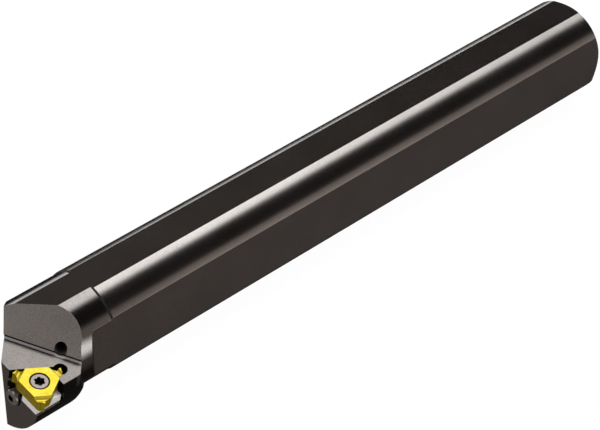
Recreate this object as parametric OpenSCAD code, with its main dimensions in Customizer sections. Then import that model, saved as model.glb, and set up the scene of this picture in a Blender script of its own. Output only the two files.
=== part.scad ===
// Internal threading tool holder: a round bar with three clamping flats, a stepped
// head, a chip space and an inclined pocket with shim, three-cornered insert and screws.
// X runs along the bar towards the cutting head, Y towards the cutting corner, Z up.
// The origin is on the bar's axis at its rear end. All sizes are in millimetres.

/* [Shank] */
// Diameter of the shank
shank_d = 32; // [31:0.5:34]
// Height over the top and bottom flats
flats_h = 30; // [29:0.25:30.5]
// Distance from the axis to the front flat
front_flat = 13.5; // [12.5:0.1:14]
// Overall length, rear end to front end
tool_l = 250; // [180:1:300]
// Chamfer on the rear end
rear_chamfer = 2.8; // [1:0.1:3.2]

/* [Head] */
// Length of the head, shoulder to front end
head_l = 31.8; // [31:0.1:36]
// Diameter of the head
head_d = 31.4; // [30.8:0.1:31.8]
// Length of the chamfer on the shoulder
shoulder_chamfer = 0.6; // [0.3:0.1:1]
// How far the front flat runs past the shoulder
front_flat_run = 7.3; // [4:0.1:9]
// Radius of the nose that carries the pocket
nose_r = 18.5; // [18:0.1:19]
// Length of the nose, front end to its square-cut back
nose_l = 15.45; // [14:0.05:16.5]
// Slope of the nose's turned back
nose_slope = 36; // [30:1:45]
// Rounding between that slope and the nose
nose_round = 6; // [3:0.5:8]
// Height of the nose above the bar's axis
nose_top = 8; // [6:0.5:9]
// Where the nose ends on the far side, from the bar's axis
nose_side = 0; // [-4:0.5:1]
// Width of the front face left beside the bevelled corner
bevel_y = 2.7; // [2:0.1:3.5]

/* [Cutting corner] */
// Distance from the axis to the cutting point
cutting_reach = 20.75; // [20:0.05:21.5]
// Slope of the insert towards the cutting side
seat_tilt = 15; // [12:1:17]
// How far the insert stands out of the front face
insert_overhang = 0.38; // [0.1:0.02:0.8]

/* [Insert] */
// Diameter of the circle inscribed in the insert
inscribed_d = 9.525; // [9.4:0.005:9.7]
// Thickness of the insert
insert_t = 4; // [3.6:0.1:4.2]
// Drop of the corners below the insert's top
corner_drop = 0.1; // [0.1:0.05:0.4]
// Distance from the insert's centre to its shoulders
tooth_base = 6; // [5.9:0.05:6.2]
// Height of the thread-cutting tooth
tooth_h = 1; // [0.8:0.05:1.2]
// Distance from the insert's side to the tooth's point
tooth_inset = 1.1; // [0.9:0.05:1.3]
// Angle between the tooth's flanks
thread_angle = 60; // [55:5:60]
// Radius of the chip groove behind each tooth
chip_groove_r = 1; // [0.8:0.05:1.2]
// Distance from the insert's centre to the middle of the chip groove
chip_groove_at = 6.3; // [6.1:0.05:6.5]
// Height of the chip groove's axis above the insert's top
chip_groove_up = 0.15; // [0.1:0.05:0.4]
// Diameter of the screw hole
insert_hole_d = 4.2; // [4:0.1:4.4]
// Diameter of the countersink at the top
countersink_d = 5.9; // [5.8:0.1:6.4]
// Depth of the straight rim above the countersink
countersink_rim = 0.5; // [0.3:0.1:0.8]
// Angle of the countersink's wall against its axis
countersink_angle = 30; // [28:1:34]

/* [Shim] */
// Thickness of the shim
shim_t = 2.8; // [2.6:0.1:3.3]
// Distance from the insert's centre to the shim's outer side
shim_reach = 4.9; // [4.4:0.1:5.1]
// Distance from the insert's centre to the shim's back end
shim_back = 4.3; // [3.9:0.1:4.5]
// How far the shim stays inside the insert's front side
shim_inset = 0.25; // [0.1:0.05:0.4]
// Where the shim's front side ends, back from the insert's centre
shim_end = 1.3; // [0.8:0.1:2]

/* [Chip space] */
// How far the insert stands above the chip floor
insert_proud = 0.15; // [0:0.05:0.5]
// Distance from the insert's centre to the foot of the chip wall
chip_wall_back = 8.87; // [8.7:0.01:9.6]
// Turn of the chip wall about the insert's axis
chip_turn = 30.8; // [28:0.2:34]
// Slope of the chip wall against the chip floor
chip_slope = 43.9; // [40:1:48]
// Radius of the groove along the foot of the chip wall
foot_groove_r = 0.91; // [0.87:0.01:0.95]
// How far the groove's axis lies behind the wall's foot
foot_groove_back = 1.5; // [1.4:0.05:1.6]
// Height of the groove's axis above the chip floor
foot_groove_up = 0.75; // [0.7:0.01:0.8]
// Diameter of the round relief at the pocket's inner corner
relief_d = 4.1; // [3.6:0.1:4.4]
// Distance from the insert's centre to the pocket's open end
pocket_open = 4.9; // [4.8:0.05:5.2]

/* [Coolant] */
// Diameter of the threaded inlet's core in the rear end
inlet_d = 11.4; // [8.8:0.1:12]
// Depth of the threaded inlet
inlet_l = 14; // [10:1:20]
// Diameter of the bore along the axis
coolant_d = 6; // [4:0.5:7]
// Diameter of the outlet in the chip wall
outlet_d = 3.6; // [3:0.1:4.2]
// Distance from the front end to where the outlet leaves the axis
outlet_start = 26.7; // [25:0.1:28]
// How far above the axis it leaves the axial bore
outlet_rise = 2; // [0:0.1:2.4]
// Place of the outlet in the chip wall: back from the front end, across, up
outlet_at = [15.3, 10.5, 5.3];

/* [Screws] */
// Diameter of the insert screw's thread
insert_screw_d = 3.5; // [3:0.5:3.5]
// Diameter of its head
insert_head_d = 5.3; // [5.1:0.1:5.5]
// Length of the insert screw
insert_screw_l = 13.5; // [11:0.5:15]
// How far its head lies below the insert's top
insert_head_sunk = 0.1; // [0:0.05:0.2]
// Width of its six-lobe socket over the lobes
insert_socket_d = 3.3; // [2.8:0.1:3.4]
// Depth of that socket
insert_socket_l = 1.9; // [1.4:0.1:2]
// Diameter of the shim screw's thread
shim_screw_d = 3; // [2.5:0.5:3]
// Diameter of its head
shim_head_d = 5.3; // [5:0.1:5.4]
// Height of the straight part of its head
shim_head_h = 1.8; // [1.5:0.1:2]
// Height of the domed part of its head
shim_dome_h = 0.8; // [0.6:0.1:1]
// Depth of its seat in the front face
shim_seat_l = 1.5; // [1:0.1:1.8]
// Length of its thread
shim_screw_l = 9; // [7:0.5:11]
// Width of its six-lobe socket over the lobes
shim_socket_d = 2.4; // [2:0.1:2.6]
// Depth of that socket
shim_socket_l = 1.3; // [1:0.1:1.6]
// Place of the shim screw's axis: across and up from the bar's axis
shim_screw_at = [7.1, -5.4];

/* [Fits] */
// Gap between a wall of the pocket and the insert
seat_gap = 0.05; // [0.02:0.01:0.1]
// Gap between the insert screw's cone and its countersink
cone_gap = 0.04; // [0.02:0.01:0.08]
// Gap around a screw head
head_gap = 0.25; // [0.15:0.05:0.3]
// Gap around a screw's thread
thread_gap = 0.05; // [0.03:0.01:0.08]

/* [Hidden] */
$fn = 96;

shank_r = shank_d / 2;
head_r = head_d / 2;
shoulder_x = tool_l - head_l;
over = 60;

// The insert's centre at its top face, worked out from the cutting point
side_r = inscribed_d / 2;
corner_r = inscribed_d;
tooth_reach = tooth_base + tooth_h;
insert_at = [
    tool_l + insert_overhang - side_r,
    cutting_reach - tooth_reach * cos(seat_tilt) + corner_drop * sin(seat_tilt),
    tooth_reach * sin(seat_tilt) + corner_drop * cos(seat_tilt)
];
pocket_depth = insert_t + shim_t;
chip_floor = -insert_proud;

dark_steel = "#3a3634";
gold = "#e3c93f";
pale_carbide = "#d8d0cc";
screw_grey = "#8f8a87";

// Places what follows at the insert's centre, square to the insert
module in_seat()
{
    translate(insert_at)
        rotate([-seat_tilt, 0, 0])
            children();
}

// A solid of revolution about the bar's axis from a profile of [x, radius] points
module turned(profile)
{
    rotate([0, 90, 0])
        rotate_extrude()
            polygon([for (p = profile) [p[1], p[0]]]);
}

// A round rod from one point to another
module rod(from, to, d)
{
    along = to - from;
    translate(from)
        rotate([0, acos(along[2] / norm(along)), atan2(along[1], along[0])])
            cylinder(h = norm(along), d = d);
}

// Six-lobe socket seen along its axis
module six_lobe(d)
{
    lobe_r = 0.145 * d;
    difference()
    {
        circle(d = 0.86 * d);
        for (i = [0 : 5])
            rotate(60 * i + 30)
                translate([0.54 * d, 0])
                    circle(r = lobe_r);
    }
    for (i = [0 : 5])
        rotate(60 * i)
            translate([0.5 * d - lobe_r, 0])
                circle(r = lobe_r);
}

// Shank and head with the shoulder between them and the flats cut along them
module shank_and_head()
{
    front_flat_x = shoulder_x + front_flat_run;
    difference()
    {
        turned([
            [0, 0],
            [0, shank_r - rear_chamfer],
            [rear_chamfer, shank_r],
            [shoulder_x - shoulder_chamfer, shank_r],
            [shoulder_x, head_r],
            [tool_l, head_r],
            [tool_l, 0]
        ]);
        for (side = [0, 1])
            mirror([0, 0, side])
                translate([-1, -over / 2, flats_h / 2])
                    cube([tool_l + 2, over, over]);
        // the front flat runs out up a ramp at 45 degrees
        translate([0, 0, -over / 2])
            linear_extrude(height = over)
                polygon([
                    [-1, front_flat],
                    [front_flat_x, front_flat],
                    [front_flat_x + over, front_flat + over],
                    [-1, front_flat + over]
                ]);
    }
}

// Nose that stands out past the head to carry the pocket
module nose()
{
    round_x = tool_l - nose_l + 0.65;
    slope_x = round_x - nose_round * sin(nose_slope);
    slope_r = nose_r - nose_round * (1 - cos(nose_slope));
    foot_r = head_r - 1.5;
    foot_x = slope_x - (slope_r - foot_r) / tan(nose_slope);
    steps = 12;
    difference()
    {
        turned(concat(
            [[foot_x, 0], [foot_x, foot_r]],
            [for (i = [0 : steps])
                let (a = nose_slope * (1 - i / steps))
                [round_x - nose_round * sin(a), nose_r - nose_round * (1 - cos(a))]],
            [[tool_l, nose_r], [tool_l, 0]]
        ));
        // square-cut back of the nose, at 45 degrees to the bar
        translate([tool_l - nose_l, nose_r, -over / 2])
            rotate([0, 0, 45])
                translate([-over, 0, 0])
                    cube([2 * over, over, over]);
        // top of the nose, above the outlet
        translate([foot_x - 1, -over, nose_top])
            cube([over, 2 * over, over]);
        // flank underneath, on the side away from the cutting point
        translate([foot_x - 1, nose_side - over, -over])
            cube([over, over, 2 * over]);
    }
}

// Space in front of the chip wall, with the groove along the wall's foot
module chip_space()
{
    lap = foot_groove_back - 0.2 * foot_groove_r;
    in_seat()
        rotate([0, 0, chip_turn])
            translate([-chip_wall_back, 0, chip_floor])
                rotate([90, 0, 0])
                    linear_extrude(height = 2 * over, center = true)
                    {
                        polygon([
                            [-lap, 0],
                            [over, 0],
                            [over, over],
                            [-over / tan(chip_slope), over],
                            [-lap, lap * tan(chip_slope)]
                        ]);
                        translate([-foot_groove_back, foot_groove_up])
                            circle(r = foot_groove_r);
                    }
}

// Pocket for the shim and the insert, open to the front and to the cutting side
module pocket()
{
    wall = side_r + seat_gap;
    open_v = (wall - pocket_open / 2) / cos(30);
    in_seat()
    {
        translate([0, 0, -pocket_depth])
            linear_extrude(height = pocket_depth + over / 2)
                polygon([
                    [-2 * wall, 0],
                    [over, -(wall + over / 2) / cos(30)],
                    [over, over],
                    [-pocket_open, over],
                    [-pocket_open, open_v]
                ]);
        translate([relief_d / 2 - 0.1 - corner_r, 0, -pocket_depth - 0.3])
            cylinder(h = pocket_depth + over / 2, d = relief_d);
    }
}

// Tapped hole for the insert screw, below the pocket's floor
module insert_screw_hole()
{
    depth = insert_screw_l + 1.2 - pocket_depth;
    in_seat()
        translate([0, 0, -pocket_depth - depth])
            cylinder(h = depth + 1, d = insert_screw_d + 2 * thread_gap);
}

// Seat of the shim screw in the front face
module shim_screw_hole()
{
    head_x = tool_l - shim_seat_l;
    translate([head_x, shim_screw_at[0], shim_screw_at[1]])
        rotate([0, 90, 0])
        {
            cylinder(h = over, d = shim_head_d + 2 * head_gap);
            translate([0, 0, -shim_screw_l - 1])
                cylinder(h = shim_screw_l + 2, d = shim_screw_d + 2 * thread_gap);
        }
}

// Inlet, axial bore and slanting outlet for the coolant
module coolant_way()
{
    bend = [tool_l - outlet_start, 0, outlet_rise];
    mouth = [tool_l - outlet_at[0], outlet_at[1], outlet_at[2]];
    turned([[-1, 0], [-1, inlet_d / 2], [inlet_l, inlet_d / 2],
            [inlet_l + (inlet_d - coolant_d) / 2, coolant_d / 2],
            [inlet_l + (inlet_d - coolant_d) / 2, 0]]);
    rod([inlet_l, 0, 0], [bend[0] + 1.5, 0, 0], coolant_d);
    rod(bend, mouth + 0.5 * (mouth - bend), outlet_d);
}

// The one-piece steel bar
module bar()
{
    color(dark_steel)
        difference()
        {
            union()
            {
                shank_and_head();
                nose();
            }
            // bevelled front corner on the far side
            translate([tool_l, bevel_y, -over / 2])
                rotate([0, 0, -45])
                    translate([0, -over, 0])
                        cube([over, 2 * over, over]);
            chip_space();
            pocket();
            insert_screw_hole();
            shim_screw_hole();
            coolant_way();
        }
}

// Outline of the insert: three corners, each with a thread-cutting tooth
module insert_outline()
{
    half = thread_angle / 2;
    point_u = side_r - tooth_inset;
    flat = 0.06;
    base = tooth_h * tan(half);
    corner = [
        [side_r, tooth_base - 0.5],
        [side_r - 0.25, tooth_base],
        [point_u + base + flat, tooth_base],
        [point_u + flat, tooth_reach],
        [point_u - flat, tooth_reach],
        [point_u - base - flat, tooth_base],
        [(tooth_base * cos(30) - side_r) / sin(30), tooth_base]
    ];
    polygon([for (turn = [0, 120, 240]) for (p = corner)
        [p[0] * cos(turn) - p[1] * sin(turn), p[0] * sin(turn) + p[1] * cos(turn)]]);
}

// The three-cornered insert with raised middle, chip grooves and countersunk hole
module threading_insert()
{
    edge_r = chip_groove_at - sqrt(chip_groove_r ^ 2 - chip_groove_up ^ 2);
    cone_h = (countersink_d - insert_hole_d) / 2 / tan(countersink_angle);
    color(gold)
        in_seat()
            difference()
            {
                translate([0, 0, -insert_t])
                    linear_extrude(height = insert_t)
                        insert_outline();
                // lowered corners, each with a chip groove behind its tooth
                for (turn = [60, 180, 300])
                    rotate([0, 0, turn])
                    {
                        translate([edge_r, -side_r, -corner_drop])
                            cube([corner_r, 2 * side_r, 2]);
                        translate([chip_groove_at, 0, chip_groove_up])
                            rotate([90, 0, 0])
                                cylinder(h = 2 * side_r, r = chip_groove_r, center = true);
                    }
                translate([0, 0, -insert_t - 1])
                    cylinder(h = insert_t + 2, d = insert_hole_d);
                translate([0, 0, -countersink_rim - cone_h])
                    cylinder(h = cone_h, d1 = insert_hole_d, d2 = countersink_d);
                translate([0, 0, -countersink_rim])
                    cylinder(h = 2, d = countersink_d);
            }
}

// The carbide shim below the insert, notched for the head of its screw
module shim()
{
    wall = side_r - seat_gap;
    front = side_r - shim_inset;
    back_v = (wall - shim_back / 2) / cos(30);
    end_u = 7.6;
    color(pale_carbide)
        difference()
        {
            in_seat()
                translate([0, 0, -pocket_depth])
                    linear_extrude(height = shim_t)
                        difference()
                        {
                            polygon([
                                [front, shim_reach],
                                [-shim_back, shim_reach],
                                [-shim_back, back_v],
                                [-end_u, (wall - end_u / 2) / cos(30)],
                                [-end_u, -(wall - end_u / 2) / cos(30)],
                                [0, -wall / cos(30)],
                                [front, -shim_end]
                            ]);
                            circle(d = insert_hole_d + 0.2);
                        }
            translate([tool_l - shim_seat_l - 0.15, shim_screw_at[0], shim_screw_at[1]])
                rotate([0, 90, 0])
                    cylinder(h = over, d = shim_head_d + head_gap);
        }
}

// Countersunk screw through the insert and the shim
module insert_screw()
{
    head_r = insert_head_d / 2;
    stem_r = insert_screw_d / 2;
    seat_z = cone_gap / sin(countersink_angle) - countersink_rim
        - (countersink_d / 2 - head_r) / tan(countersink_angle);
    top = -insert_head_sunk;
    cone_h = (head_r - stem_r) / tan(countersink_angle);
    tip = 0.5;
    color(screw_grey)
        in_seat()
            difference()
            {
                rotate_extrude()
                    polygon([
                        [0, top],
                        [head_r - 0.15, top],
                        [head_r, top - 0.15],
                        [head_r, seat_z],
                        [stem_r, seat_z - cone_h],
                        [stem_r, tip - insert_screw_l],
                        [stem_r - tip, -insert_screw_l],
                        [0, -insert_screw_l]
                    ]);
                translate([0, 0, top - insert_socket_l])
                    linear_extrude(height = insert_socket_l + 1)
                        six_lobe(insert_socket_d);
            }
}

// Domed screw in the front face that holds the shim
module shim_screw()
{
    seat_x = tool_l - shim_seat_l;
    head_r = shim_head_d / 2;
    stem_r = shim_screw_d / 2;
    end_r = 0.7 * head_r;
    tip = 0.4;
    steps = 8;
    dome = [for (i = [0 : steps])
        let (a = 90 * i / steps)
        [end_r + (head_r - end_r) * cos(a), shim_head_h + shim_dome_h * sin(a)]];
    color(screw_grey)
        translate([seat_x, shim_screw_at[0], shim_screw_at[1]])
            rotate([0, 90, 0])
                difference()
                {
                    rotate_extrude()
                        polygon(concat(
                            [[0, -shim_screw_l], [stem_r - tip, -shim_screw_l],
                             [stem_r, tip - shim_screw_l], [stem_r, 0], [head_r, 0]],
                            dome,
                            [[0, shim_head_h + shim_dome_h]]
                        ));
                    translate([0, 0, shim_head_h + shim_dome_h - shim_socket_l])
                        linear_extrude(height = shim_socket_l + 1)
                            six_lobe(shim_socket_d);
                }
}

bar();
shim();
shim_screw();
threading_insert();
insert_screw();
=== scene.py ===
"""Internal threading tool holder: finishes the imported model's pieces and stages them as in the
photograph."""

import math

import bmesh
import bpy
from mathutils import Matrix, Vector


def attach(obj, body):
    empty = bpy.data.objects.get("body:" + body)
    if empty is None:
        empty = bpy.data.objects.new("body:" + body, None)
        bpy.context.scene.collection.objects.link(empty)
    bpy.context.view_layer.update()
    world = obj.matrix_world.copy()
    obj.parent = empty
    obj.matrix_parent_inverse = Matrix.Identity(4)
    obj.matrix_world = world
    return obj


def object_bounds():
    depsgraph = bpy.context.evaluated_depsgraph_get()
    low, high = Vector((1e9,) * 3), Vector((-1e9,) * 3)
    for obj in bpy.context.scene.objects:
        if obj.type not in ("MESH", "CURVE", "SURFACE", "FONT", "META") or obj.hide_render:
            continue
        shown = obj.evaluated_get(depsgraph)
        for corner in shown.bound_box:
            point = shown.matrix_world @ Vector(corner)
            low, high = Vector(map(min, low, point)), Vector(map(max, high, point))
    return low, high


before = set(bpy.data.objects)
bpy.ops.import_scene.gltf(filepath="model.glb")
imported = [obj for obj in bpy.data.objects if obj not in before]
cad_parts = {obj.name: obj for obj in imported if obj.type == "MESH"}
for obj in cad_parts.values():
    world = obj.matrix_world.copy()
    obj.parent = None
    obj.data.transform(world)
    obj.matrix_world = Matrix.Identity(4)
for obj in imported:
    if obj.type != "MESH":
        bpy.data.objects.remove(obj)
cad_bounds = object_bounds()
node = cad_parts
MM = 0.001

# The photograph's camera, fitted to the bar's edges, in millimetres and degrees
CAMERA_AT = (543.57, 420.02, 422.01)
CAMERA_TURN = (53.943, 0.055, 135.371)
LENS = 139.556
SENSOR = 36.0

# Long soft lamps parallel to the bar: angle round it from +Y over +Z, half width, soft edge,
# strength, and the parts of the strength left towards the rear end and over the head
LAMPS = [
    (93.0, 15.2, 7.4, 3.3, 0.45, 0.62),
    (-9.0, 13.0, 11.0, 2.5, 1.0, 1.0),
    (171.5, 10.5, 5.0, 3.3, 1.0, 0.4)]
# The same for the weak, warm light that walls and bench give back
GLOWS = [
    (20.0, 11.0, 8.0, 0.82, 0.55, 0.05),
    (-36.0, 20.0, 14.0, 0.11, 0.8, 1.0),
    (136.0, 16.0, 10.0, 0.065, 0.0, 1.0)]
# Where lamps and glows change, by how far the direction towards them points along the bar, from
# -1 straight to the rear to 1 straight ahead: towards the rear end, over the head, and in front,
# where FRONT_PART of the strength is left
REAR_FADE = (-0.7, -0.5)
HEAD_FADE = (-0.498, -0.486)
FRONT_FADE = (0.0, 0.5)
FRONT_PART = 0.4
# Strength of the dim room and of the fill in front of the head, where that fill comes in, and
# the strength of the even light on what isn't a mirror
ROOM = 0.02
FILL = 0.15
FILL_FADE = (0.1, 0.4)
EVEN = 0.45
# The key lamp's place and aim, in metres
KEY_AT = Vector((-0.26, 0.11, 0.86))
KEY_AIM = Vector((0.24, 0.01, 0.0))

# Places on the bar, in millimetres. It is ground behind the shoulder and on the flats, turned
# in front of the shoulder, and left matt by the mill on the chip floor and the chip wall.
SHOULDER_X = 218.2
SHOULDER_LINE = 0.3
TOP_FLAT_Z = 15.0
FRONT_FLAT_Y = 13.5
FRONT_X = 250.0
# Chip floor and chip wall: the way each faces and its distance from the origin
FLOOR_UP = Vector((0.0, 0.2588, 0.9659))
FLOOR_HEIGHT = 5.321
WALL_OUT = Vector((0.5956, 0.5294, 0.6041))
WALL_DISTANCE = 148.60
# The groove along the wall's foot: a point on its axis, the axis, the way back into the bar and
# its radius. The wall is milled from GROOVE_TOP above the floor, the floor reaches GROOVE_LAP
# behind the wall's plane, and the groove's painted shade and highlight run over GROOVE_ARC degrees.
GROOVE_MIDDLE = Vector((236.71, 9.041, 3.863))
GROOVE_ALONG = Vector((-0.5120, 0.8297, -0.2223))
GROOVE_BACK = Vector((-0.8590, -0.4946, 0.1325))
GROOVE_R = 0.91
GROOVE_TOP = 1.5
GROOVE_LAP = 0.8
GROOVE_ARC = 125.0
# The coolant outlet: a point on its axis, the way it points and its radius
OUTLET_AT = Vector((223.3, 0.0, 2.0))
OUTLET_ALONG = Vector((0.7193, 0.6625, 0.2082))
OUTLET_R = 1.8
# How far below the outlet the painted shade round its mouth is centred, the radii between which
# that painted shade fades out, and how black it and the painted shade line at the shoulder's foot
# are
SHADE_RUN = 0.75
OUTLET_SHADE_R = 1.65
OUTLET_SHADE_END_R = 2.0
OUTLET_SHADE_BLACK = 0.9
SHOULDER_SHADE_BLACK = 0.85
# The middle of the insert's hole, the radii between which the painted shade round its screw and on
# the pocket's walls fades out, and how far below the chip floor those walls start and end
INSERT_MIDDLE = Vector((245.62, 14.01, 1.91))
HOLE_SHADE_R = 2.9
HOLE_SHADE_END_R = 3.1
POCKET_R = 10.6
POCKET_END_R = 12.4
POCKET_TOP = 0.2
POCKET_BOTTOM = 3.7
# How far off a flat or a round face a point may be and still count as on it, and how squarely
# one of the flats has to look up, down or sideways
FACE_SLACK = 0.05
BORE_SLACK = 0.03
SQUARE_ON = 0.999
# Roughness of the steel where it is painted dark as shade, milled, turned, and ground, there
# from its finest to its coarsest patches
SHADED_ROUGH = 0.6
MILLED_ROUGH = 0.4
TURNED_ROUGH = 0.15
GROUND_ROUGH = (0.16, 0.21)
# The part of the light that the milled faces and the outlet scatter, and how far the most worn
# edges have turned to bare steel
MILLED_SCATTER = 0.3
OUTLET_SCATTER = 0.8
EDGE_WEAR = 0.12
# How far the gloss of a rounded edge reaches on each piece
BAR_EDGE = 0.06
INSERT_EDGE = 0.06
SHIM_EDGE = 0.08
SCREW_EDGE = 0.06

# Thread of the coolant inlet in the rear end: radius of the bore, pitch, length and height of the
# ridge, and where it starts, in millimetres
INLET_R = 5.7
INLET_PITCH = 1.337
INLET_THREAD_L = 12.6
INLET_RIDGE = 0.42
INLET_START = 0.9


# Helpers for colours, nodes and materials

def linear(hex_value):
    """Linear RGBA of an sRGB hex colour."""
    parts = [int(hex_value[i:i + 2], 16) / 255 for i in (1, 3, 5)]
    return [c / 12.92 if c <= 0.04045 else ((c + 0.055) / 1.055) ** 2.4 for c in parts] + [1.0]


def add(tree, kind, inputs=None, stops=None, **settings):
    """Adds a node with its settings. inputs gives each socket a value, or an output to link to
    it, and stops gives a colour ramp its places and colours."""
    made = tree.nodes.new(kind)
    for name, value in settings.items():
        setattr(made, name, value)
    for socket, value in (inputs or {}).items():
        if isinstance(value, bpy.types.NodeSocket):
            tree.links.new(value, made.inputs[socket])
        else:
            made.inputs[socket].default_value = value
    for place, (position, colour) in enumerate(stops or []):
        ramp = made.color_ramp.elements
        stop = ramp[place] if place < 2 else ramp.new(position)
        stop.position = position
        stop.color = colour
    return made


def material(name):
    """An empty node material and its tree."""
    made = bpy.data.materials.new(name)
    made.use_nodes = True
    made.node_tree.nodes.clear()
    return made, made.node_tree


def per_mm(size_mm):
    """Scale of a pattern whose grains are size_mm across, on coordinates in metres."""
    return 1.0 / (size_mm * MM)


def band_scale(gap_mm):
    """Scale of a wave texture whose bands are gap_mm apart. At scale 1 they are 2 pi / 20 apart."""
    return per_mm(gap_mm) * 2 * math.pi / 20


def from_axis(tree, where, point, along):
    """Distance of the surface, in metres, from the axis that runs along a direction through a
    point in millimetres."""
    offset = add(tree, "ShaderNodeVectorMath", {0: where, 1: point * MM}, operation="SUBTRACT")
    across = add(tree, "ShaderNodeVectorMath", {0: offset.outputs[0], 1: along},
                 operation="CROSS_PRODUCT")
    return add(tree, "ShaderNodeVectorMath", {0: across.outputs[0]},
               operation="LENGTH").outputs["Value"]


# Masks on the bar: 1 on the part they name, 0 elsewhere

def flats(tree, place, faces):
    """The top, bottom and front flats."""
    mask = 0.0
    for axis, distance in (("Y", FRONT_FLAT_Y), ("Z", TOP_FLAT_Z)):
        far = add(tree, "ShaderNodeMath", {0: place.outputs[axis]}, operation="ABSOLUTE")
        in_plane = add(tree, "ShaderNodeMath", {0: far.outputs[0], 1: distance * MM,
                                                2: FACE_SLACK * MM}, operation="COMPARE")
        square = add(tree, "ShaderNodeMath", {0: faces.outputs[axis]}, operation="ABSOLUTE")
        straight = add(tree, "ShaderNodeMath", {0: square.outputs[0], 1: SQUARE_ON},
                       operation="GREATER_THAN")
        mask = add(tree, "ShaderNodeMath", {0: in_plane.outputs[0], 1: straight.outputs[0],
                                            2: mask}, operation="MULTIPLY_ADD").outputs[0]
    return mask


def chip_faces(tree, where):
    """The milled chip floor and the chip wall above the groove."""
    above = add(tree, "ShaderNodeVectorMath", {0: where, 1: FLOOR_UP}, operation="DOT_PRODUCT")
    ahead = add(tree, "ShaderNodeVectorMath", {0: where, 1: WALL_OUT}, operation="DOT_PRODUCT")
    level = add(tree, "ShaderNodeMath", {0: above.outputs["Value"], 1: FLOOR_HEIGHT * MM,
                                         2: FACE_SLACK * MM}, operation="COMPARE")
    before_wall = add(tree, "ShaderNodeMath", {0: ahead.outputs["Value"],
                                               1: (WALL_DISTANCE - GROOVE_LAP) * MM},
                      operation="GREATER_THAN")
    on_floor = add(tree, "ShaderNodeMath", {0: level.outputs[0], 1: before_wall.outputs[0]},
                   operation="MULTIPLY")
    steep = add(tree, "ShaderNodeMath", {0: ahead.outputs["Value"], 1: WALL_DISTANCE * MM,
                                         2: FACE_SLACK * MM}, operation="COMPARE")
    over_groove = add(tree, "ShaderNodeMath", {0: above.outputs["Value"],
                                               1: (FLOOR_HEIGHT + GROOVE_TOP) * MM},
                      operation="GREATER_THAN")
    on_wall = add(tree, "ShaderNodeMath", {0: steep.outputs[0], 1: over_groove.outputs[0]},
                  operation="MULTIPLY")
    return add(tree, "ShaderNodeMath", {0: on_floor.outputs[0], 1: on_wall.outputs[0]},
               operation="MAXIMUM").outputs[0]


def pocket_walls(tree, where, place):
    """The walls of the insert's pocket, without the bar's front face."""
    beside = add(tree, "ShaderNodeMapRange", {
        "Value": from_axis(tree, where, INSERT_MIDDLE, FLOOR_UP), "From Min": POCKET_R * MM,
        "From Max": POCKET_END_R * MM, "To Min": 1.0, "To Max": 0.0})
    above = add(tree, "ShaderNodeVectorMath", {0: where, 1: FLOOR_UP}, operation="DOT_PRODUCT")
    middle = FLOOR_HEIGHT - (POCKET_TOP + POCKET_BOTTOM) / 2
    in_depth = add(tree, "ShaderNodeMath", {0: above.outputs["Value"], 1: middle * MM,
                                            2: (POCKET_BOTTOM - POCKET_TOP) / 2 * MM},
                   operation="COMPARE")
    behind = add(tree, "ShaderNodeMath", {0: place.outputs["X"],
                                          1: (FRONT_X - 2 * FACE_SLACK) * MM},
                 operation="LESS_THAN")
    a_wall = add(tree, "ShaderNodeMath", {0: in_depth.outputs[0], 1: behind.outputs[0]},
                 operation="MULTIPLY")
    return add(tree, "ShaderNodeMath", {0: beside.outputs["Result"], 1: a_wall.outputs[0]},
               operation="MULTIPLY").outputs[0]


def painted_shade_parts(tree, where, place, on_flats):
    """Where shade is painted dark: a line at the shoulder's foot, the pocket's walls, and a patch
    below the coolant outlet."""
    foot = add(tree, "ShaderNodeMath", {0: place.outputs["X"],
                                        1: (SHOULDER_X - SHOULDER_LINE) * MM,
                                        2: SHOULDER_LINE * MM}, operation="COMPARE")
    line = add(tree, "ShaderNodeMath", {0: foot.outputs[0], 1: on_flats}, operation="SUBTRACT",
               use_clamp=True)
    thin_line = add(tree, "ShaderNodeMath", {0: line.outputs[0], 1: SHOULDER_SHADE_BLACK},
                    operation="MULTIPLY")
    shaded_line_and_walls = add(tree, "ShaderNodeMath", {0: thin_line.outputs[0],
                                        1: pocket_walls(tree, where, place)},
               operation="MAXIMUM")
    # Painted shade: a dark patch round the outlet's mouth, fading out between two radii
    run = OUTLET_AT - SHADE_RUN * FLOOR_UP
    outlet_shade = add(tree, "ShaderNodeMapRange", {
        "Value": from_axis(tree, where, run, OUTLET_ALONG), "From Min": OUTLET_SHADE_R * MM,
        "From Max": OUTLET_SHADE_END_R * MM, "To Min": OUTLET_SHADE_BLACK, "To Max": 0.0})
    return add(tree, "ShaderNodeMath", {0: shaded_line_and_walls.outputs[0], 1: outlet_shade.outputs["Result"]},
               operation="MAXIMUM").outputs[0]


def round_the_groove(tree, where):
    """0 to 1 round the groove, from under the wall's edge to the floor."""
    offset = add(tree, "ShaderNodeVectorMath", {0: where, 1: GROOVE_MIDDLE * MM},
                 operation="SUBTRACT")
    down = add(tree, "ShaderNodeVectorMath", {0: offset.outputs[0], 1: -FLOOR_UP},
               operation="DOT_PRODUCT")
    back = add(tree, "ShaderNodeVectorMath", {0: offset.outputs[0], 1: GROOVE_BACK},
               operation="DOT_PRODUCT")
    angle = add(tree, "ShaderNodeMath", {0: down.outputs["Value"], 1: back.outputs["Value"]},
                operation="ARCTAN2")
    return add(tree, "ShaderNodeMapRange", {"Value": angle.outputs[0], "From Min": 0.0,
                                            "From Max": math.radians(GROOVE_ARC)}).outputs["Result"]


# Materials

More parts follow.
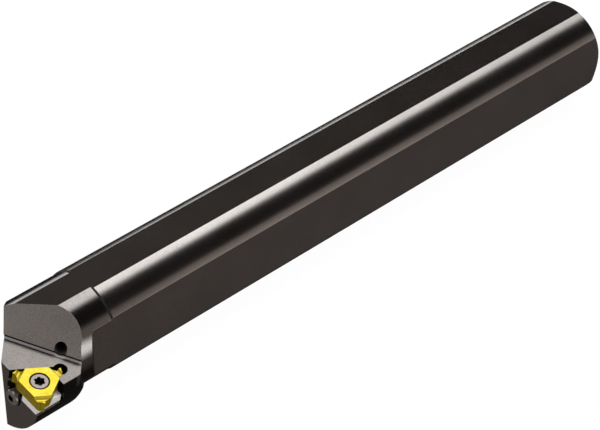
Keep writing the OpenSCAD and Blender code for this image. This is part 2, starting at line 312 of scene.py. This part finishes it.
def blackened_steel():
    """Alloy steel, blackened in a hot salt bath: a near-black oxide with a brownish tinge, as
    glossy as the metal below it. The ground shank is satin, the fine-turned head smoother and
    darker, and the milled chip floor and wall matt and a clear mid grey."""
    made, tree = material("blackened_steel")
    where = add(tree, "ShaderNodeTexCoord").outputs["Object"]
    # Clouds of the salt bath, a few centimetres long
    clouds = add(tree, "ShaderNodeTexNoise", {"Vector": where, "Scale": per_mm(16), "Detail": 3.0})
    # The oxide's own grain is a few micrometres, drawn 0.35 mm wide so that it shows
    specks = add(tree, "ShaderNodeTexNoise", {"Vector": where, "Scale": per_mm(0.35), "Detail": 2.0,
                                              "Roughness": 0.6})
    uneven = add(tree, "ShaderNodeMix", {"Factor": 0.7, "A": clouds.outputs["Fac"],
                                         "B": specks.outputs["Fac"]})

    plain = add(tree, "ShaderNodeNewGeometry").outputs["Normal"]
    place = add(tree, "ShaderNodeSeparateXYZ", {"Vector": where})
    faces = add(tree, "ShaderNodeSeparateXYZ", {"Vector": plain})
    on_flats = flats(tree, place, faces)
    in_front = add(tree, "ShaderNodeMath", {0: place.outputs["X"], 1: SHOULDER_X * MM},
                   operation="GREATER_THAN")
    turned = add(tree, "ShaderNodeMath", {0: in_front.outputs[0], 1: on_flats},
                 operation="SUBTRACT", use_clamp=True).outputs[0]
    in_groove = add(tree, "ShaderNodeMath", {
        0: from_axis(tree, where, GROOVE_MIDDLE, GROOVE_ALONG),
        1: (GROOVE_R + BORE_SLACK) * MM}, operation="LESS_THAN").outputs[0]
    milled = add(tree, "ShaderNodeMath", {0: chip_faces(tree, where), 1: in_groove},
                 operation="MAXIMUM").outputs[0]
    in_outlet = add(tree, "ShaderNodeMath", {
        0: from_axis(tree, where, OUTLET_AT, OUTLET_ALONG),
        1: (OUTLET_R + BORE_SLACK) * MM}, operation="LESS_THAN").outputs[0]

    ground_tint = add(tree, "ShaderNodeValToRGB", {"Fac": uneven.outputs["Result"]},
                      stops=[(0.35, linear("#918d8a")), (0.65, linear("#a5a19e"))])
    turned_tint = add(tree, "ShaderNodeValToRGB", {"Fac": uneven.outputs["Result"]},
                      stops=[(0.35, linear("#7b7775")), (0.65, linear("#8f8b89"))])
    milled_tint = add(tree, "ShaderNodeValToRGB", {"Fac": uneven.outputs["Result"]},
                      stops=[(0.35, linear("#807b78")), (0.65, linear("#a39d99"))])
    # Round the groove the colour paints light and shade: a painted shadow, near black, under the
    # wall's edge, a painted highlight, a light strip, below it, and painted shade, a dull grey,
    # along the bottom, before it lightens again into the floor
    groove_light_and_shade = add(tree, "ShaderNodeValToRGB", {"Fac": round_the_groove(tree, where)},
                      stops=[(0.2, linear("#1a1716")), (0.32, linear("#d5d1cf")),
                             (0.5, linear("#cfcbc9")), (0.66, linear("#6a6663")),
                             (0.8, linear("#6a6663")), (0.9, linear("#a39f9d"))])
    face_tint = add(tree, "ShaderNodeMix", {0: in_groove, 6: milled_tint.outputs["Color"],
                                            7: groove_light_and_shade.outputs["Color"]}, data_type="RGBA")
    smooth_tint = add(tree, "ShaderNodeMix", {0: turned, 6: ground_tint.outputs["Color"],
                                              7: turned_tint.outputs["Color"]}, data_type="RGBA")
    tint = add(tree, "ShaderNodeMix", {0: milled, 6: smooth_tint.outputs[2],
                                       7: face_tint.outputs[2]}, data_type="RGBA")
    # Corners lose a little of the oxide in handling, so they shine slightly lighter
    rounded = add(tree, "ShaderNodeBevel", {"Radius": BAR_EDGE * MM}, samples=6)
    bend = add(tree, "ShaderNodeVectorMath", {0: plain, 1: rounded.outputs["Normal"]},
               operation="DOT_PRODUCT")
    wear = add(tree, "ShaderNodeMapRange", {"Value": bend.outputs["Value"], "From Min": 0.99,
                                            "From Max": 0.8, "To Min": 0.0,
                                            "To Max": EDGE_WEAR})
    worn = add(tree, "ShaderNodeMix", {0: wear.outputs["Result"], 6: tint.outputs[2],
                                       7: linear("#c4c0be")}, data_type="RGBA")
    # Painted shade: the corners and holes that the occlusion finds closed in, the pocket's walls,
    # the shoulder's foot and a patch below the outlet are painted near black
    open_air = add(tree, "ShaderNodeAmbientOcclusion", {"Distance": 2.0 * MM}, samples=8)
    aired = add(tree, "ShaderNodeMapRange", {"Value": open_air.outputs["AO"], "From Min": 0.45,
                                             "From Max": 0.75, "To Min": 0.0, "To Max": 1.0})
    unoccluded = add(tree, "ShaderNodeMath", {0: aired.outputs["Result"], 1: in_groove},
               operation="MAXIMUM").outputs[0]
    unshaded = add(tree, "ShaderNodeMath", {0: unoccluded, 1: painted_shade_parts(tree, where, place, on_flats)},
                operation="SUBTRACT", use_clamp=True).outputs[0]
    shade_painted = add(tree, "ShaderNodeMix", {0: unshaded, 6: linear("#1d1a18"), 7: worn.outputs[2]},
                data_type="RGBA")
    # The drilled outlet's bore is painted a dark dull grey, as shade inside the hole
    colour = add(tree, "ShaderNodeMix", {0: in_outlet, 6: shade_painted.outputs[2],
                                         7: linear("#47423e")}, data_type="RGBA")

    ground_gloss = add(tree, "ShaderNodeMapRange", {"Value": uneven.outputs["Result"],
                                                    "From Min": 0.3, "From Max": 0.7,
                                                    "To Min": GROUND_ROUGH[0],
                                                    "To Max": GROUND_ROUGH[1]})
    turned_gloss = add(tree, "ShaderNodeMix", {"Factor": turned,
                                               "A": ground_gloss.outputs["Result"],
                                               "B": TURNED_ROUGH})
    smooth = add(tree, "ShaderNodeMix", {"Factor": unshaded, "A": SHADED_ROUGH,
                                         "B": turned_gloss.outputs["Result"]})
    matt = add(tree, "ShaderNodeMath", {0: unoccluded, 1: MILLED_ROUGH - SHADED_ROUGH, 2: SHADED_ROUGH},
               operation="MULTIPLY_ADD")
    gloss = add(tree, "ShaderNodeMix", {"Factor": milled, "A": smooth.outputs["Result"],
                                        "B": matt.outputs[0]})
    # The milled faces and the outlet scatter a part of the light, the rest mirrors all of it
    off_mill = add(tree, "ShaderNodeMath", {0: milled, 1: -MILLED_SCATTER, 2: 1.0},
                   operation="MULTIPLY_ADD")
    mirror = add(tree, "ShaderNodeMath", {0: in_outlet, 1: -OUTLET_SCATTER,
                                          2: off_mill.outputs[0]},
                 operation="MULTIPLY_ADD", use_clamp=True)
    # Rings of the grinding and turning, 0.1 mm apart on the real bar, which is too fine for the
    # picture: drawn 5 mm apart, and as shallow as the even gloss in the photograph asks
    rings = add(tree, "ShaderNodeTexWave", {"Vector": where, "Scale": band_scale(5.03),
                                            "Distortion": 0.6, "Detail": 2.0},
                wave_type="BANDS", bands_direction="X")
    relief = add(tree, "ShaderNodeMix", {"Factor": 0.2, "A": specks.outputs["Fac"],
                                         "B": rings.outputs["Fac"]})
    bump = add(tree, "ShaderNodeBump", {"Strength": 0.03, "Distance": 0.01 * MM,
                                        "Height": relief.outputs["Result"],
                                        "Normal": rounded.outputs["Normal"]})
    steel = add(tree, "ShaderNodeBsdfPrincipled", {
        "Base Color": colour.outputs[2], "Metallic": mirror.outputs[0],
        "Roughness": gloss.outputs["Result"], "Normal": bump.outputs["Normal"]})
    add(tree, "ShaderNodeOutputMaterial", {"Surface": steel.outputs[0]})
    return made


def gold_nitride():
    """Titanium nitride, vapour-coated on sintered and ground carbide: a bright lemon gold, matt
    and slightly mottled; the flanks, turned away from the top, are painted darker as shade, and
    the hole and the corners painted dark brown as shade."""
    made, tree = material("gold_nitride_coating")
    where = add(tree, "ShaderNodeTexCoord").outputs["Object"]
    # Patches of thicker and thinner coating, about 2 mm wide
    patches = add(tree, "ShaderNodeTexNoise", {"Vector": where, "Scale": per_mm(2.2), "Detail": 4.0,
                                               "Roughness": 0.65})
    # Droplets and pressing grain of some 20 micrometres, drawn 0.3 mm wide so that they show
    specks = add(tree, "ShaderNodeTexNoise", {"Vector": where, "Scale": per_mm(0.3), "Detail": 2.0,
                                              "Roughness": 0.6})
    uneven = add(tree, "ShaderNodeMix", {"Factor": 0.5, "A": patches.outputs["Fac"],
                                         "B": specks.outputs["Fac"]})
    top_tint = add(tree, "ShaderNodeValToRGB", {"Fac": uneven.outputs["Result"]},
                   stops=[(0.34, linear("#d8bd22")), (0.5, linear("#efd944")),
                          (0.66, linear("#f8e662"))])
    # Painted shade: the flanks get a darker copy of the top's gold, by how far they turn from the
    # top
    shaded_flank_tint = add(tree, "ShaderNodeValToRGB", {"Fac": uneven.outputs["Result"]},
                     stops=[(0.35, linear("#a08c12")), (0.65, linear("#bfaa24"))])
    rounded = add(tree, "ShaderNodeBevel", {"Radius": INSERT_EDGE * MM}, samples=6)
    facing = add(tree, "ShaderNodeVectorMath", {0: rounded.outputs["Normal"], 1: FLOOR_UP},
                 operation="DOT_PRODUCT")
    lit_top = add(tree, "ShaderNodeMapRange", {"Value": facing.outputs["Value"], "From Min": 0.25,
                                              "From Max": 0.8, "To Min": 0.0, "To Max": 1.0})
    bright = add(tree, "ShaderNodeMix", {0: lit_top.outputs["Result"],
                                         6: shaded_flank_tint.outputs["Color"],
                                         7: top_tint.outputs["Color"]}, data_type="RGBA")
    # Painted shade: closed-in corners and the hole round the screw are painted dark brown
    open_air = add(tree, "ShaderNodeAmbientOcclusion", {"Distance": 1.5 * MM}, samples=8)
    aired = add(tree, "ShaderNodeMapRange", {"Value": open_air.outputs["AO"], "From Min": 0.4,
                                             "From Max": 0.8, "To Min": 0.0, "To Max": 1.0})
    off_hole = add(tree, "ShaderNodeMapRange", {
        "Value": from_axis(tree, where, INSERT_MIDDLE, FLOOR_UP), "From Min": HOLE_SHADE_R * MM,
        "From Max": HOLE_SHADE_END_R * MM})
    unshaded = add(tree, "ShaderNodeMath", {0: aired.outputs["Result"], 1: off_hole.outputs["Result"]},
                operation="MULTIPLY")
    tint = add(tree, "ShaderNodeMix", {0: unshaded.outputs[0], 6: linear("#1c1705"),
                                       7: bright.outputs[2]}, data_type="RGBA")
    bump = add(tree, "ShaderNodeBump", {"Strength": 0.25, "Distance": 0.03 * MM,
                                        "Height": specks.outputs["Fac"],
                                        "Normal": rounded.outputs["Normal"]})
    coat = add(tree, "ShaderNodeBsdfPrincipled", {
        "Base Color": tint.outputs[2], "Metallic": 0.75, "Roughness": 0.4,
        "Normal": bump.outputs["Normal"]})
    add(tree, "ShaderNodeOutputMaterial", {"Surface": coat.outputs[0]})
    return made


def ground_carbide():
    """Bare cemented carbide, ground all over: a pale warm grey, almost matt, with the straight
    lines of the grinding wheel."""
    made, tree = material("ground_carbide")
    where = add(tree, "ShaderNodeTexCoord").outputs["Object"]
    # Wheel marks of some 50 micrometres, too fine for the picture: drawn 2.5 mm apart
    lines = add(tree, "ShaderNodeTexWave", {"Vector": where, "Scale": band_scale(2.51),
                                            "Distortion": 1.2, "Detail": 2.0},
                wave_type="BANDS", bands_direction="Z")
    specks = add(tree, "ShaderNodeTexNoise", {"Vector": where, "Scale": per_mm(0.3), "Detail": 2.0,
                                              "Roughness": 0.6})
    tint = add(tree, "ShaderNodeValToRGB", {"Fac": specks.outputs["Fac"]},
               stops=[(0.3, linear("#e2dcd6")), (0.7, linear("#f4f0ec"))])
    rounded = add(tree, "ShaderNodeBevel", {"Radius": SHIM_EDGE * MM}, samples=6)
    bump = add(tree, "ShaderNodeBump", {"Strength": 0.12, "Distance": 0.02 * MM,
                                        "Height": lines.outputs["Fac"],
                                        "Normal": rounded.outputs["Normal"]})
    carbide = add(tree, "ShaderNodeBsdfPrincipled", {
        "Base Color": tint.outputs["Color"], "Metallic": 0.15, "Roughness": 0.4,
        "Normal": bump.outputs["Normal"]})
    add(tree, "ShaderNodeOutputMaterial", {"Surface": carbide.outputs[0]})
    return made


def screw_steel(name, dark, light, roughness):
    """Hardened screw steel, turned and tumbled: a mid-grey satin metal, finely marked, with its
    socket and the closed-in corners round its rim painted almost black as shade."""
    made, tree = material(name)
    where = add(tree, "ShaderNodeTexCoord").outputs["Object"]
    # Tumbling marks of some 0.1 mm, drawn 0.3 mm wide so that they show
    specks = add(tree, "ShaderNodeTexNoise", {"Vector": where, "Scale": per_mm(0.3), "Detail": 2.0,
                                              "Roughness": 0.6})
    tint = add(tree, "ShaderNodeValToRGB", {"Fac": specks.outputs["Fac"]},
               stops=[(0.3, linear(dark)), (0.7, linear(light))])
    # Painted shade: where the occlusion finds the surface closed in, the colour goes near black
    open_air = add(tree, "ShaderNodeAmbientOcclusion", {"Distance": 2.0 * MM}, samples=8)
    unshaded = add(tree, "ShaderNodeMapRange", {"Value": open_air.outputs["AO"], "From Min": 0.6,
                                             "From Max": 0.9, "To Min": 0.0, "To Max": 1.0})
    colour = add(tree, "ShaderNodeMix", {0: unshaded.outputs["Result"], 6: linear("#0c0b0b"),
                                         7: tint.outputs["Color"]}, data_type="RGBA")
    rounded = add(tree, "ShaderNodeBevel", {"Radius": SCREW_EDGE * MM}, samples=6)
    bump = add(tree, "ShaderNodeBump", {"Strength": 0.12, "Distance": 0.02 * MM,
                                        "Height": specks.outputs["Fac"],
                                        "Normal": rounded.outputs["Normal"]})
    steel = add(tree, "ShaderNodeBsdfPrincipled", {
        "Base Color": colour.outputs[2], "Metallic": 0.8, "Roughness": roughness,
        "Normal": bump.outputs["Normal"]})
    add(tree, "ShaderNodeOutputMaterial", {"Surface": steel.outputs[0]})
    return made


def finish_piece(obj, look):
    """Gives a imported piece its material."""
    obj.data.materials.clear()
    obj.data.materials.append(look)


bar_look = blackened_steel()
finish_piece(node["bar"], bar_look)
finish_piece(node["threading_insert"], gold_nitride())
finish_piece(node["shim"], ground_carbide())
finish_piece(node["insert_screw"], screw_steel("bright_screw_steel", "#99928e", "#b3adaa", 0.4))
finish_piece(node["shim_screw"], screw_steel("dull_screw_steel", "#7d7674", "#a19a98", 0.28))


# Thread in the coolant inlet

def inlet_thread():
    """The helical ridge of the pipe thread, which stands on the wall of the inlet bore."""
    per_turn = 40
    count = round(per_turn * INLET_THREAD_L / INLET_PITCH)
    # Half the ridge's width at its foot and at its crest, the steps in which it grows to its full
    # height, its least height, and the radius of its foot
    foot = 0.46 * INLET_PITCH
    top = 0.1
    lead_in = per_turn * 0.6
    least = 0.02
    wall = INLET_R + 0.01
    verts = []
    for i in range(count + 1):
        angle = 2 * math.pi * i / per_turn
        along = INLET_START + INLET_THREAD_L * i / count
        grown = min(1.0, i / lead_in, (count - i) / lead_in)
        crest = wall - max(least, INLET_RIDGE * grown)
        for shift, radius in ((-foot, wall), (-top, crest), (top, crest), (foot, wall)):
            verts.append((along + shift, radius * math.cos(angle), radius * math.sin(angle)))
    faces = []
    for i in range(count):
        for k in range(4):
            a, b = 4 * i + k, 4 * i + (k + 1) % 4
            faces.append((a, b, b + 4, a + 4))
    last = 4 * count
    faces += [(3, 2, 1, 0), (last, last + 1, last + 2, last + 3)]
    mesh = bpy.data.meshes.new("inlet_thread")
    mesh.from_pydata([[v * MM for v in point] for point in verts], [], faces)
    shape = bmesh.new()
    shape.from_mesh(mesh)
    bmesh.ops.recalc_face_normals(shape, faces=shape.faces)
    shape.to_mesh(mesh)
    shape.free()
    mesh.materials.append(bar_look)
    obj = bpy.data.objects.new("inlet_thread", mesh)
    bpy.context.scene.collection.objects.link(obj)
    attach(obj, "root")


inlet_thread()


# Stage: a white floor and soft studio light

def floor():
    """A wide white floor that takes only a faint shadow."""
    low = cad_bounds[0].z
    size = 6.0
    corners = [(-size, -size, low), (size, -size, low), (size, size, low), (-size, size, low)]
    mesh = bpy.data.meshes.new("floor")
    mesh.from_pydata(corners, [], [(0, 1, 2, 3)])
    obj = bpy.data.objects.new("floor", mesh)
    bpy.context.scene.collection.objects.link(obj)
    made, tree = material("white_floor")
    matte = add(tree, "ShaderNodeBsdfDiffuse", {"Color": linear("#ffffff")})
    glow = add(tree, "ShaderNodeEmission", {"Color": linear("#ffffff"), "Strength": 1.0})
    # The floor shines white by itself, and only this part of it takes light and shadow
    shaded = 0.02
    both = add(tree, "ShaderNodeMixShader", {0: shaded, 1: glow.outputs[0], 2: matte.outputs[0]})
    add(tree, "ShaderNodeOutputMaterial", {"Surface": both.outputs[0]})
    mesh.materials.append(made)
    obj.visible_glossy = False


def studio():
    """A dim room with long soft lamps parallel to the bar, seen in its gloss, a weak fill in
    front of the head, and an even white light for everything that isn't a mirror."""
    world = bpy.data.worlds.new("studio")
    bpy.context.scene.world = world
    world.use_nodes = True
    tree = world.node_tree
    tree.nodes.clear()
    way = add(tree, "ShaderNodeTexCoord").outputs["Generated"]
    parts = add(tree, "ShaderNodeSeparateXYZ", {"Vector": way})
    along, across, height = (parts.outputs[axis] for axis in "XYZ")
    turn = add(tree, "ShaderNodeMath", {0: height, 1: across}, operation="ARCTAN2").outputs[0]

    levels = []
    for group in (LAMPS, GLOWS):
        level = 0.0
        for middle, half, soft, strength, rear, head in group:
            # Angle round the bar from the lamp's middle, folded into half a turn either way
            off = add(tree, "ShaderNodeMath", {0: turn, 1: math.radians(middle)},
                      operation="SUBTRACT")
            folded = add(tree, "ShaderNodeMath", {0: off.outputs[0], 1: math.pi, 2: -math.pi},
                         operation="WRAP")
            apart = add(tree, "ShaderNodeMath", {0: folded.outputs[0]}, operation="ABSOLUTE")
            glow = add(tree, "ShaderNodeMapRange", {
                "Value": apart.outputs[0], "From Min": math.radians(half - soft),
                "From Max": math.radians(half + soft), "To Min": strength, "To Max": 0.0},
                interpolation_type="SMOOTHSTEP")
            part = glow.outputs["Result"]
            for (start, end), at_start, at_end in ((REAR_FADE, rear, 1.0), (HEAD_FADE, 1.0, head),
                                                   (FRONT_FADE, 1.0, FRONT_PART)):
                fade = add(tree, "ShaderNodeMapRange", {
                    "Value": along, "From Min": start, "From Max": end, "To Min": at_start,
                    "To Max": at_end})
                part = add(tree, "ShaderNodeMath", {0: part, 1: fade.outputs["Result"]},
                           operation="MULTIPLY").outputs[0]
            level = add(tree, "ShaderNodeMath", {0: level, 1: part}, operation="ADD").outputs[0]
        levels.append(level)
    lamps = add(tree, "ShaderNodeBackground", {"Color": linear("#ffffff"), "Strength": levels[0]})
    # The dim room with its glows, and a fill in front of the head
    near = add(tree, "ShaderNodeMapRange", {"Value": along, "From Min": FILL_FADE[0],
                                            "From Max": FILL_FADE[1], "To Min": ROOM,
                                            "To Max": ROOM + FILL})
    dim = add(tree, "ShaderNodeMath", {0: near.outputs["Result"], 1: levels[1]},
              operation="ADD")
    room = add(tree, "ShaderNodeBackground", {"Color": linear("#fff1e8"),
                                              "Strength": dim.outputs[0]})
    in_gloss = add(tree, "ShaderNodeAddShader", {0: lamps.outputs[0], 1: room.outputs[0]})
    even = add(tree, "ShaderNodeBackground", {"Color": linear("#ffffff"), "Strength": EVEN})
    white = add(tree, "ShaderNodeBackground", {"Color": linear("#ffffff"), "Strength": 1.0})
    rays = add(tree, "ShaderNodeLightPath")
    seen = add(tree, "ShaderNodeMixShader", {0: rays.outputs["Is Camera Ray"],
                                             1: even.outputs[0], 2: white.outputs[0]})
    mix = add(tree, "ShaderNodeMixShader", {0: rays.outputs["Is Glossy Ray"], 1: seen.outputs[0],
                                            2: in_gloss.outputs[0]})
    add(tree, "ShaderNodeOutputWorld", {"Surface": mix.outputs[0]})


def key_lamp():
    """A large soft lamp high above and behind the rear end, aimed at the head, for the surfaces
    that aren't mirrors."""
    data = bpy.data.lights.new("key_lamp", "AREA")
    data.shape = "DISK"
    data.size = 0.6
    data.energy = 11.0
    data.color = (1.0, 0.985, 0.96)
    obj = bpy.data.objects.new("key_lamp", data)
    obj.location = KEY_AT
    obj.rotation_euler = (KEY_AIM - KEY_AT).to_track_quat("-Z", "Y").to_euler()
    obj.visible_glossy = False
    bpy.context.scene.collection.objects.link(obj)


def camera():
    """The photograph's camera."""
    data = bpy.data.cameras.new("photo_camera")
    data.lens = LENS
    data.sensor_width = SENSOR
    data.clip_start = 0.01
    data.clip_end = 20.0
    obj = bpy.data.objects.new("photo_camera", data)
    obj.location = [v * MM for v in CAMERA_AT]
    obj.rotation_euler = [math.radians(v) for v in CAMERA_TURN]
    bpy.context.scene.collection.objects.link(obj)
    bpy.context.scene.camera = obj


floor()
studio()
key_lamp()
camera()
bpy.context.scene.view_settings.view_transform = "Standard"
